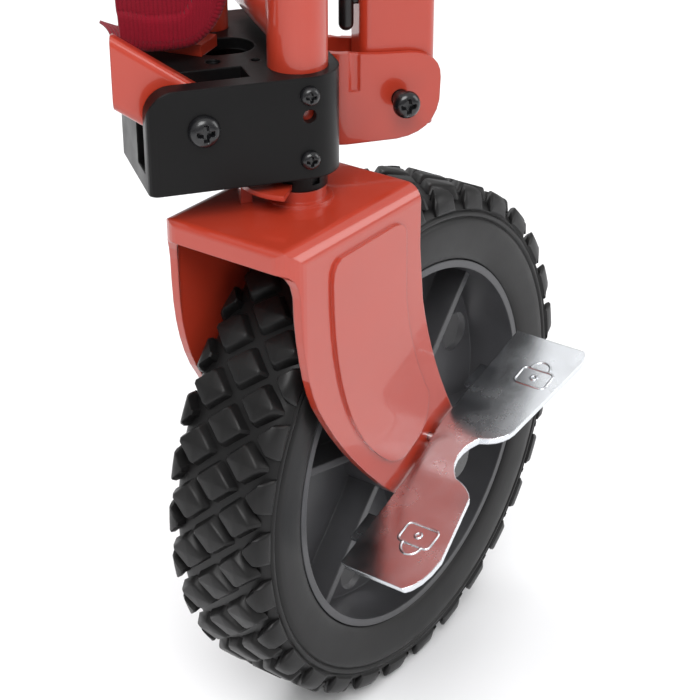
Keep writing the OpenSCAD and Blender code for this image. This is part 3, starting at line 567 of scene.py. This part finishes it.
def tyre_section():
    """Half of the tyre's outline without its lugs: (across, radius), from the middle outwards."""
    return [(0, 96.4), (6, 96.3), (12, 95.9), (15.5, 95.2), (17.8, 94.2), (19.4, 92.9),
            (20.3, 91.7), (20.0, 91.35), (19.7, 91.0), (20.0, 90.7), (20.45, 90.4),
            (20.6, 89.8), (20.55, 89.2), (20.2, 88.9), (19.8, 88.5), (20.2, 88.1),
            (20.6, 87.7), (20.9, 86.5), (20.95, 84.0), (20.8, 80.5), (20.4, 77.0),
            (19.9, 74.6), (19.3, 73.2), (18.7, 72.4), (18.0, 72.06), (9, 72.06)]


def build_tyre(settings):
    half = tyre_section()
    outline = half + [(-y, r) for y, r in reversed(half)]
    outline = [p for i, p in enumerate(outline) if i == 0 or p != outline[i - 1]]
    points = []
    for k in range(TYRE_TURNS):
        turn = 2 * pi * k / TYRE_TURNS
        points += [at_wheel(r * cos(turn), y, r * sin(turn)) for y, r in outline]
    faces = grid_faces(TYRE_TURNS, len(outline), wrap_rows=True, wrap_cols=True)
    carcass = mesh_from("tyre_carcass", points, faces)
    shade(carcass, 50)
    finish_piece(new_object("tyre_carcass", carcass), "wheel", material("tyre"),
                 ["tyre"])

    pitch = 2 * TYRE_R * pi / settings.lugs
    size = settings.block / MM
    parts = [tread_block(pitch / 2, 0, size * 0.5, size * 0.55, 99.92, 95.6)]
    for side in (-1, 1):
        parts.append(tread_block(0, side * 10.4, size * 0.5, size * 0.52, 99.75, 95.2))
        parts.append(shoulder_lug(pitch / 2, side))
    lug_mesh = mesh_from("tread", *joined(*parts))
    tread = grown("tyre_tread", lug_mesh, shared("ring", ring_tree), {
        "Count": settings.lugs, "Step Angle": 2 * pi / settings.lugs,
        "Start Angle": settings.first_notch, "Centre": AXLE, "Material": material("tyre")})
    shade(tread.data, 40)
    finish_piece(tread, "wheel", material("tyre"), ["tyre"])


# ---- Screws ----

def screw(head_r, head_h, shank_r, shank_l, recess):
    """A pan head with a cross recess and a plain shank. Its head looks along -Y of the corner."""
    turns, depth = SCREW_TURNS, head_h * 0.62
    arm, wing = head_r * recess, head_r * 0.15

    def top(x, y):
        r = hypot(x, y) / head_r
        height = head_h * sqrt(max(1 - r ** 3.6, 0))
        cut = 0.0
        for u, v in ((x, y), (y, x)):
            along = 1 - smooth_step(arm * 0.55, arm, abs(u))
            beside = 1 - smooth_step(wing * 0.75, wing * 1.15, abs(v))
            cut = max(cut, along * beside)
        heart = 1 - smooth_step(wing * 1.2, wing * 2.2, hypot(x, y))
        return height - depth * max(cut, heart)

    radii = [head_r * sin(pi / 2 * k / 34) for k in range(1, 35)]
    points = [Vector((0, 0, top(0, 0)))]
    for r in radii:
        for k in range(turns):
            x, y = r * cos(2 * pi * k / turns), r * sin(2 * pi * k / turns)
            points.append(Vector((x, y, top(x, y) if r < head_r * 0.9999 else head_h * 0.02)))
    for r, z in ((head_r * 0.985, 0), (shank_r, 0), (shank_r, -shank_l + 0.5),
                 (shank_r - 0.5, -shank_l)):
        points += [Vector((r * cos(2 * pi * k / turns), r * sin(2 * pi * k / turns), z))
                   for k in range(turns)]
    rows = len(radii) + 4
    faces = grid_faces(rows, turns, wrap_cols=True, start=1)
    faces += [[0, 1 + (k + 1) % turns, 1 + k] for k in range(turns)]
    last = 1 + (rows - 1) * turns
    faces.append([last + k for k in range(turns)])
    c, s = cos(CORNER_TURN), sin(CORNER_TURN)
    points = [Vector((p.x * c + p.z * s, p.x * s - p.z * c, p.y)) * MM for p in points]
    return mesh_from("screw", points, faces)


def build_screws(settings):
    rows = (
        ("bracket_screw_pair", ["bracket_screws"], "frame_corner",
         screw(3.3, 2.4, 1.85, 6.8, settings.recess), 2, (0, -BARREL_R, 131.2), 22.0),
        ("link_pivot_screw", ["link_bolt"], "frame_corner",
         screw(5.4, 3.4, 3.0, settings.link_shank / MM, settings.recess), 1,
         (-35.2, -BARREL_R, 145.3), 1.0),
        ("handle_pivot_screw", ["handle_bolt"], "frame_corner",
         screw(4.9, 3.2, 3.0, settings.handle_shank / MM, settings.recess), 1,
         (42.7, CLEVIS_Y - settings.clevis_half / MM, 135.9), 1.0),
    )
    for name, replaced, body, mesh, count, start, step in rows:
        made = grown(name, mesh, shared("row", row_tree), {
            "Count": count, "Start": at_corner(*start), "Step": Vector((0, 0, step * MM)),
            "Material": material("dark_steel")})
        shade(made.data, 40)
        finish_piece(made, body, material("dark_steel"), replaced)


# ---- Brake marks ----

def padlock_lines(width, height):
    """The centre lines of a padlock outline with a keyhole, in mm about its middle."""
    body = []
    corner = width * 0.14
    for cx, cy, start in ((1, -1, -90), (1, 1, 0), (-1, 1, 90), (-1, -1, 180)):
        for k in range(5):
            a = radians(start + 22.5 * k)
            body.append((cx * (width / 2 - corner) + corner * cos(a),
                         cy * (height / 4 - corner) - height * 0.2 + corner * sin(a)))
    loop = [(width * 0.3 * cos(a), height * 0.05 + width * 0.34 * max(sin(a), 0))
            for a in (pi * k / 12 for k in range(13))]
    key = [(width * 0.09 * cos(a), -height * 0.2 + width * 0.09 * sin(a))
           for a in (2 * pi * k / 12 for k in range(12))]
    return ((body, True), (loop, False), (key, True))


def raised_line(points, closed, width, height):
    """A raised bead along a line: a rounded section that grows from the surface at height 0."""
    section = [(-0.5, -0.3), (-0.5, 0.25), (-0.3, 0.8), (0, 1.0), (0.3, 0.8), (0.5, 0.25),
               (0.5, -0.3)]
    made = []
    count = len(points)
    for i, (x, y) in enumerate(points):
        before = points[i - 1] if i or closed else points[0]
        after = points[(i + 1) % count] if i < count - 1 or closed else points[-1]
        dx, dy = after[0] - before[0], after[1] - before[1]
        size = hypot(dx, dy) or 1.0
        nx, ny = -dy / size, dx / size
        made += [Vector((x + nx * s * width, y + ny * s * width, h * height)) for s, h in section]
    cols = len(section)
    faces = grid_faces(count, cols, wrap_rows=closed, wrap_cols=True)
    if not closed:
        faces += [list(range(cols)), [(count - 1) * cols + k for k in range(cols)]]
    return made, faces


def build_marks(settings):
    """Raised padlocks, the same outline on each, on the brake pedal's two lobes."""
    for name, bend, tilt, reach, across in (
            ("pedal_mark_rear", (-0.993, 15.553), 16.5, 37.0, -50.0),
            ("pedal_mark_front", (-21.007, 3.047), 20.0, -28.0, -49.5)):
        parts = [raised_line(line, closed, settings.bead / MM, settings.relief / MM)
                 for line, closed in padlock_lines(13.0, 17.5)]
        points, faces = joined(*parts)
        along = Vector((cos(radians(tilt)), 0, sin(radians(tilt))))
        up = Vector((-sin(radians(tilt)), 0, cos(radians(tilt))))
        middle = Vector((bend[0], 0, bend[1])) + along * reach + Vector((0, across, 0))
        placed = []
        for p in points:
            spot = middle + along * p.y * (1 if reach > 0 else -1)
            spot += Vector((0, -1 if reach > 0 else 1, 0)) * p.x + up * p.z
            placed.append(at_wheel(*spot))
        mark = new_object(name, mesh_from(name, placed, faces))
        shade(mark.data, 60)
        finish_piece(mark, "pedal", material("zinc"))


# ---- Liner cloth ----

def liner_outline(count):
    """The cloth corner's lower edge along the wagon's side, evenly spaced: (x, z) in mm."""
    corners = [(-57.0, 168.4), (-54.6, 167.6), (-50.5, 166.4), (-45.4, 165.6), (-38.5, 165.4),
               (-32.1, 166.2), (-27.2, 169.4), (-23.6, 174.0), (-21.0, 179.5), (-19.6, 185.0),
               (-19.0, 190.0)]
    fine = []
    for i in range(len(corners) - 1):
        a, b = corners[max(i - 1, 0)], corners[i]
        c, d = corners[i + 1], corners[min(i + 2, len(corners) - 1)]
        for k in range(12):
            t = k / 12
            fine.append(tuple(
                0.5 * (2 * b[n] + (c[n] - a[n]) * t + (2 * a[n] - 5 * b[n] + 4 * c[n] - d[n]) * t ** 2
                       + (3 * b[n] - a[n] - 3 * c[n] + d[n]) * t ** 3) for n in (0, 1)))
    fine.append(corners[-1])
    lengths = [0.0]
    for a, b in zip(fine, fine[1:]):
        lengths.append(lengths[-1] + hypot(b[0] - a[0], b[1] - a[1]))
    result, j = [], 0
    for k in range(count):
        want = lengths[-1] * k / (count - 1)
        while j < len(fine) - 2 and lengths[j + 1] < want:
            j += 1
        t = (want - lengths[j]) / (lengths[j + 1] - lengths[j])
        result.append((fine[j][0] + t * (fine[j + 1][0] - fine[j][0]),
                       fine[j][1] + t * (fine[j + 1][1] - fine[j][1])))
    return result, lengths[-1]


def build_liner(settings):
    """The cloth liner's lower corner: a ribbed front, a rounded edge and a gusset behind it."""
    cols = CLOTH_COLUMNS
    outline, length = liner_outline(cols)
    front, back, top, rib = 10.0, 37.5, 189.6, settings.rib_pitch / MM
    band = settings.hem / MM
    turn_r, hem_step = 2.6, 1.1
    points, flat = [], []
    for i, (x, z) in enumerate(outline):
        x0, z0 = outline[max(i - 1, 0)]
        x1, z1 = outline[min(i + 1, cols - 1)]
        size = hypot(x1 - x0, z1 - z0)
        nx, nz = -(z1 - z0) / size, (x1 - x0) / size      # towards the inside of the bag
        across = length * i / (cols - 1)
        wave = 0.22 * cos(2 * pi * across / rib)
        slack = 0.7 * sin(across * 0.16) * sin(across * 0.05 + 1)
        rise = max(top - z, 0.3)
        for j in range(GUSSET_ROWS):                      # the gusset, from the back
            t = j / (GUSSET_ROWS - 1)
            y = back + (front + turn_r - back) * t
            sag = 1.2 * sin(pi * t) + wave * t - slack * (1 - t)
            points.append(at_corner(x + nx * sag, y, min(z + nz * sag, top)))
            flat.append((across, -y))
        for j in range(1, ROLL_ROWS + 1):                 # the rolled lower edge
            a = pi / 2 * j / ROLL_ROWS
            y = front + turn_r * (1 - sin(a))
            lift = turn_r * (1 - cos(a)) - wave * sin(a) * 0.2
            points.append(at_corner(x + nx * lift, y - wave * sin(a), min(z + nz * lift, top)))
            flat.append((across, -front + turn_r * a))
        for j in range(1, FRONT_ROWS + 1):                # the front
            t = j / FRONT_ROWS
            px, pz = x + nx * turn_r, z + nz * turn_r
            pz = min(pz, top)
            h = pz + (top - pz) * t
            lean = x + nx * turn_r * (1 - t)
            away = min(hypot(lean - qx, h - qz) for qx, qz in outline[::4])
            inside = smooth_step(band - 0.5, band + 0.7, away)
            y = front + hem_step * inside - wave * (1 - 0.75 * inside)
            y += 0.5 * slack * t * (rise / 24)
            points.append(at_corner(lean, y, h))
            flat.append((across, turn_r * 0.6 + (h - pz)))
    rows = GUSSET_ROWS + ROLL_ROWS + FRONT_ROWS
    mesh = mesh_from("liner_corner", points, grid_faces(cols, rows), outward=False)
    layer = mesh.uv_layers.new(name="flat")
    for loop in mesh.loops:
        u, v = flat[loop.vertex_index]
        layer.data[loop.index].uv = (u * MM, v * MM)
    shade(mesh, 75)
    cloth = new_object("liner_corner", mesh)
    thick = cloth.modifiers.new("Cloth", "SOLIDIFY")
    thick.thickness = settings.thickness
    thick.offset = -1
    area = sum(p.area for p in mesh.polygons)
    finish_piece(cloth, "frame_corner", material("crimson_fabric"),
                 ["fabric_corner"])

    line = [at_corner(x, front - 0.12, 173.2 + 0.25 * sin(x * 0.4)) for x in
            [-55.5 + 17.0 * k / 24 for k in range(25)]]
    path = bpy.data.meshes.new("stitch_path")
    path.from_pydata([tuple(p) for p in line], [(k, k + 1) for k in range(24)], [])
    stitches = grown("liner_stitches", path, shared("stitch", stitch_tree), {
        "Count": 9, "Length": 0.00075, "Thread": 0.00028, "Material": material("crimson_fabric")})
    shade(stitches.data, 60)
    finish_piece(stitches, "frame_corner", material("crimson_fabric"))
    return cloth, stitches, area


# ---- Settings ----

class WagonFinishes(bpy.types.PropertyGroup):
    paint: FloatVectorProperty(name="Paint", description="Colour of the painted steel",
                               subtype="COLOR", size=3, min=0, max=1, default=(0.37, 0.031, 0.013))
    plastic: FloatVectorProperty(name="Black plastic", description="Colour of the black mouldings",
                                 subtype="COLOR", size=3, min=0, max=1,
                                 default=(0.004, 0.0038, 0.004))
    rim: FloatVectorProperty(name="Rim", description="Colour of the moulded wheel",
                             subtype="COLOR", size=3, min=0, max=1, default=(0.05, 0.05, 0.054))
    tyre: FloatVectorProperty(name="Tyre", description="Colour of the tyre's rubber",
                              subtype="COLOR", size=3, min=0, max=1, default=(0.007, 0.0068, 0.007))
    zinc: FloatVectorProperty(name="Zinc", description="Colour of the plated pedal",
                              subtype="COLOR", size=3, min=0, max=1, default=(0.7, 0.72, 0.75))
    cloth: FloatVectorProperty(name="Cloth", description="Colour of the liner",
                               subtype="COLOR", size=3, min=0, max=1, default=(0.15, 0.0015, 0.009))


class WagonTyre(bpy.types.PropertyGroup):
    lugs: IntProperty(name="Lugs", description="Rows of tread blocks round the tyre",
                      default=30, min=20, max=40)
    block: FloatProperty(name="Block", description="Width of a tread block from corner to corner",
                         default=0.0122, min=0.006, max=0.014, unit="LENGTH")
    first_notch: FloatProperty(name="First notch", description="Angle of the first shoulder notch",
                               default=radians(3.7), subtype="ANGLE")


class WagonScrews(bpy.types.PropertyGroup):
    recess: FloatProperty(name="Recess", description="Reach of the cross recess over the head",
                          default=0.62, min=0.4, max=0.8)
    link_shank: FloatProperty(name="Link bolt", description="Length of the side link's bolt",
                              default=0.0325, unit="LENGTH")
    handle_shank: FloatProperty(name="Handle bolt", description="Length of the handle's bolt",
                                default=0.04, unit="LENGTH")
    clevis_half: FloatProperty(name="Clevis", description="From the clevis's middle to its face",
                               default=0.017, unit="LENGTH")


class WagonMarks(bpy.types.PropertyGroup):
    bead: FloatProperty(name="Bead", description="Width of the raised padlock lines",
                        default=0.0011, unit="LENGTH")
    relief: FloatProperty(name="Relief", description="Height of the raised padlock lines",
                          default=0.0004, unit="LENGTH")


class WagonLiner(bpy.types.PropertyGroup):
    rib_pitch: FloatProperty(name="Rib pitch", description="From one rib of the cloth to the next",
                             default=0.0015, unit="LENGTH")
    thickness: FloatProperty(name="Thickness", description="Thickness of the cloth",
                             default=0.001, unit="LENGTH")
    hem: FloatProperty(name="Hem", description="Depth of the ribbed band along the lower edge",
                       default=0.0105, unit="LENGTH")


class WagonStage(bpy.types.PropertyGroup):
    floor: FloatVectorProperty(name="Floor", description="Colour of the floor", subtype="COLOR",
                               size=3, min=0, max=1, default=(0.86, 0.86, 0.87))
    key: FloatProperty(name="Key light", description="Power of the main softbox", default=17.0,
                       min=0)
    horizon: FloatProperty(name="Horizon", description="Brightness of the studio at eye level",
                           default=0.28, min=0)
    zenith: FloatProperty(name="Ceiling", description="Brightness of the studio's ceiling",
                          default=0.95, min=0)


# ---- Operators ----

class WAGON_OT_finish_frame(bpy.types.Operator):
    """Give every carried-over metal and plastic piece its finish"""
    bl_idname = "wagon.finish_frame"
    bl_label = "Finish frame pieces"

    def execute(self, context):
        for name, obj in NODES.items():
            obj.data.materials.clear()
            obj.data.materials.append(material(SLOT_OF[name]))
        return {"FINISHED"}


class WAGON_OT_make_tyre(bpy.types.Operator):
    """Make the tyre's carcass and its blocked tread"""
    bl_idname = "wagon.make_tyre"
    bl_label = "Make tyre"

    def execute(self, context):
        build_tyre(context.scene.wagon_tyre)
        return {"FINISHED"}


class WAGON_OT_make_screws(bpy.types.Operator):
    """Make the cross-recessed screws and pivot bolts"""
    bl_idname = "wagon.make_screws"
    bl_label = "Make screws"

    def execute(self, context):
        build_screws(context.scene.wagon_screws)
        return {"FINISHED"}


class WAGON_OT_make_marks(bpy.types.Operator):
    """Raise the padlock marks on the brake pedal"""
    bl_idname = "wagon.make_marks"
    bl_label = "Make brake marks"

    def execute(self, context):
        build_marks(context.scene.wagon_marks)
        return {"FINISHED"}


class WAGON_OT_make_liner(bpy.types.Operator):
    """Make the corner of the cloth liner and its stitches"""
    bl_idname = "wagon.make_liner"
    bl_label = "Make liner corner"

    def execute(self, context):
        cloth, stitches, area = build_liner(context.scene.wagon_liner)
        return {"FINISHED"}


class WAGON_OT_make_stage(bpy.types.Operator):
    """Make the floor, the softboxes and the camera"""
    bl_idname = "wagon.make_stage"
    bl_label = "Make stage"

    def execute(self, context):
        settings = context.scene.wagon_stage
        floor_z = AXLE.z - 0.1
        size = 4.0
        corners = [(-size, -size, floor_z), (size, -size, floor_z), (size, size, floor_z),
                   (-size, size, floor_z)]
        floor = new_object("stage_floor", mesh_from("stage_floor", corners, [[0, 1, 2, 3]],
                                                    outward=False))
        floor.data.materials.append(finish(
            "stage_floor", settings.floor, 0.7, fine=300, bump=0.02, mottle=3,
            color_shift=0.01, edge=0.0))
        for name, place, width, power in (
                ("key", (-0.75, -0.55, 0.95), 0.8, settings.key),
                ("fill", (0.95, -1.1, 0.45), 0.9, settings.key * 0.45),
                ("rim", (0.35, 0.95, 0.8), 0.7, settings.key * 0.4)):
            lamp = bpy.data.lights.new(name, "AREA")
            lamp.energy = power
            lamp.shape = "SQUARE"
            lamp.size = width
            obj = bpy.data.objects.new(name, lamp)
            obj.location = place
            aim = Vector((0.0, 0.0, -0.12)) - Vector(place)
            obj.rotation_euler = aim.to_track_quat("-Z", "Y").to_euler()
            context.scene.collection.objects.link(obj)
        world = bpy.data.worlds.new("studio")
        world.use_nodes = True
        sky = world.node_tree.nodes["Background"]
        sky.inputs["Strength"].default_value = 1.0
        tree = world.node_tree
        direction = node(tree, "ShaderNodeTexCoord")
        height = node(tree, "ShaderNodeSeparateXYZ")
        link(tree, direction.outputs["Generated"], height.inputs[0])
        level = ramp(tree, height.outputs["Z"], -0.05, 0.9, settings.horizon, settings.zenith)
        tone = node(tree, "ShaderNodeCombineColor")
        for socket in tone.inputs:
            link(tree, level, socket)
        link(tree, tone.outputs[0], sky.inputs["Color"])
        context.scene.world = world
        context.scene.view_settings.view_transform = "Standard"
        turn, tilt = radians(-54.016), radians(27.812)
        right = Vector((cos(turn), sin(turn), 0))
        away = Vector((sin(turn) * cos(tilt), -cos(turn) * cos(tilt), sin(tilt)))
        up = away.cross(right)
        lens = bpy.data.cameras.new("camera")
        lens.lens = 97.714
        lens.sensor_width = 36.0
        lens.clip_start = 0.01
        camera = bpy.data.objects.new("camera", lens)
        matrix = Matrix((right, up, away)).transposed().to_4x4()
        matrix.translation = AXLE + (right * -9.951 + up * 30.624 + away * 725.68) * MM
        camera.matrix_world = matrix
        context.scene.collection.objects.link(camera)
        context.scene.camera = camera
        return {"FINISHED"}


OPERATORS = (WAGON_OT_finish_frame, WAGON_OT_make_tyre, WAGON_OT_make_screws,
             WAGON_OT_make_marks, WAGON_OT_make_liner, WAGON_OT_make_stage)
SETTINGS = {"wagon_finishes": WagonFinishes, "wagon_tyre": WagonTyre,
            "wagon_screws": WagonScrews, "wagon_marks": WagonMarks, "wagon_liner": WagonLiner,
            "wagon_stage": WagonStage}


class WAGON_PT_pieces(bpy.types.Panel):
    """Lists the pieces of the wagon corner and their sizes"""
    bl_label = "Wagon corner"
    bl_space_type = "VIEW_3D"
    bl_region_type = "UI"
    bl_category = "Wagon"

    def draw(self, context):
        for operator in OPERATORS:
            self.layout.operator(operator.bl_idname)
        for name, kind in SETTINGS.items():
            for prop in kind.__annotations__:
                self.layout.prop(getattr(context.scene, name), prop)


def register():
    for kind in (*SETTINGS.values(), *OPERATORS, WAGON_PT_pieces):
        bpy.utils.register_class(kind)
    for name, kind in SETTINGS.items():
        setattr(bpy.types.Scene, name, PointerProperty(type=kind))


def unregister():
    for name in SETTINGS:
        delattr(bpy.types.Scene, name)
    for kind in reversed((*SETTINGS.values(), *OPERATORS, WAGON_PT_pieces)):
        bpy.utils.unregister_class(kind)


def main():
    register()
    for operator in OPERATORS:
        kind, name = operator.bl_idname.split(".")
        getattr(getattr(bpy.ops, kind), name)()


if __name__ == "__main__":
    main()
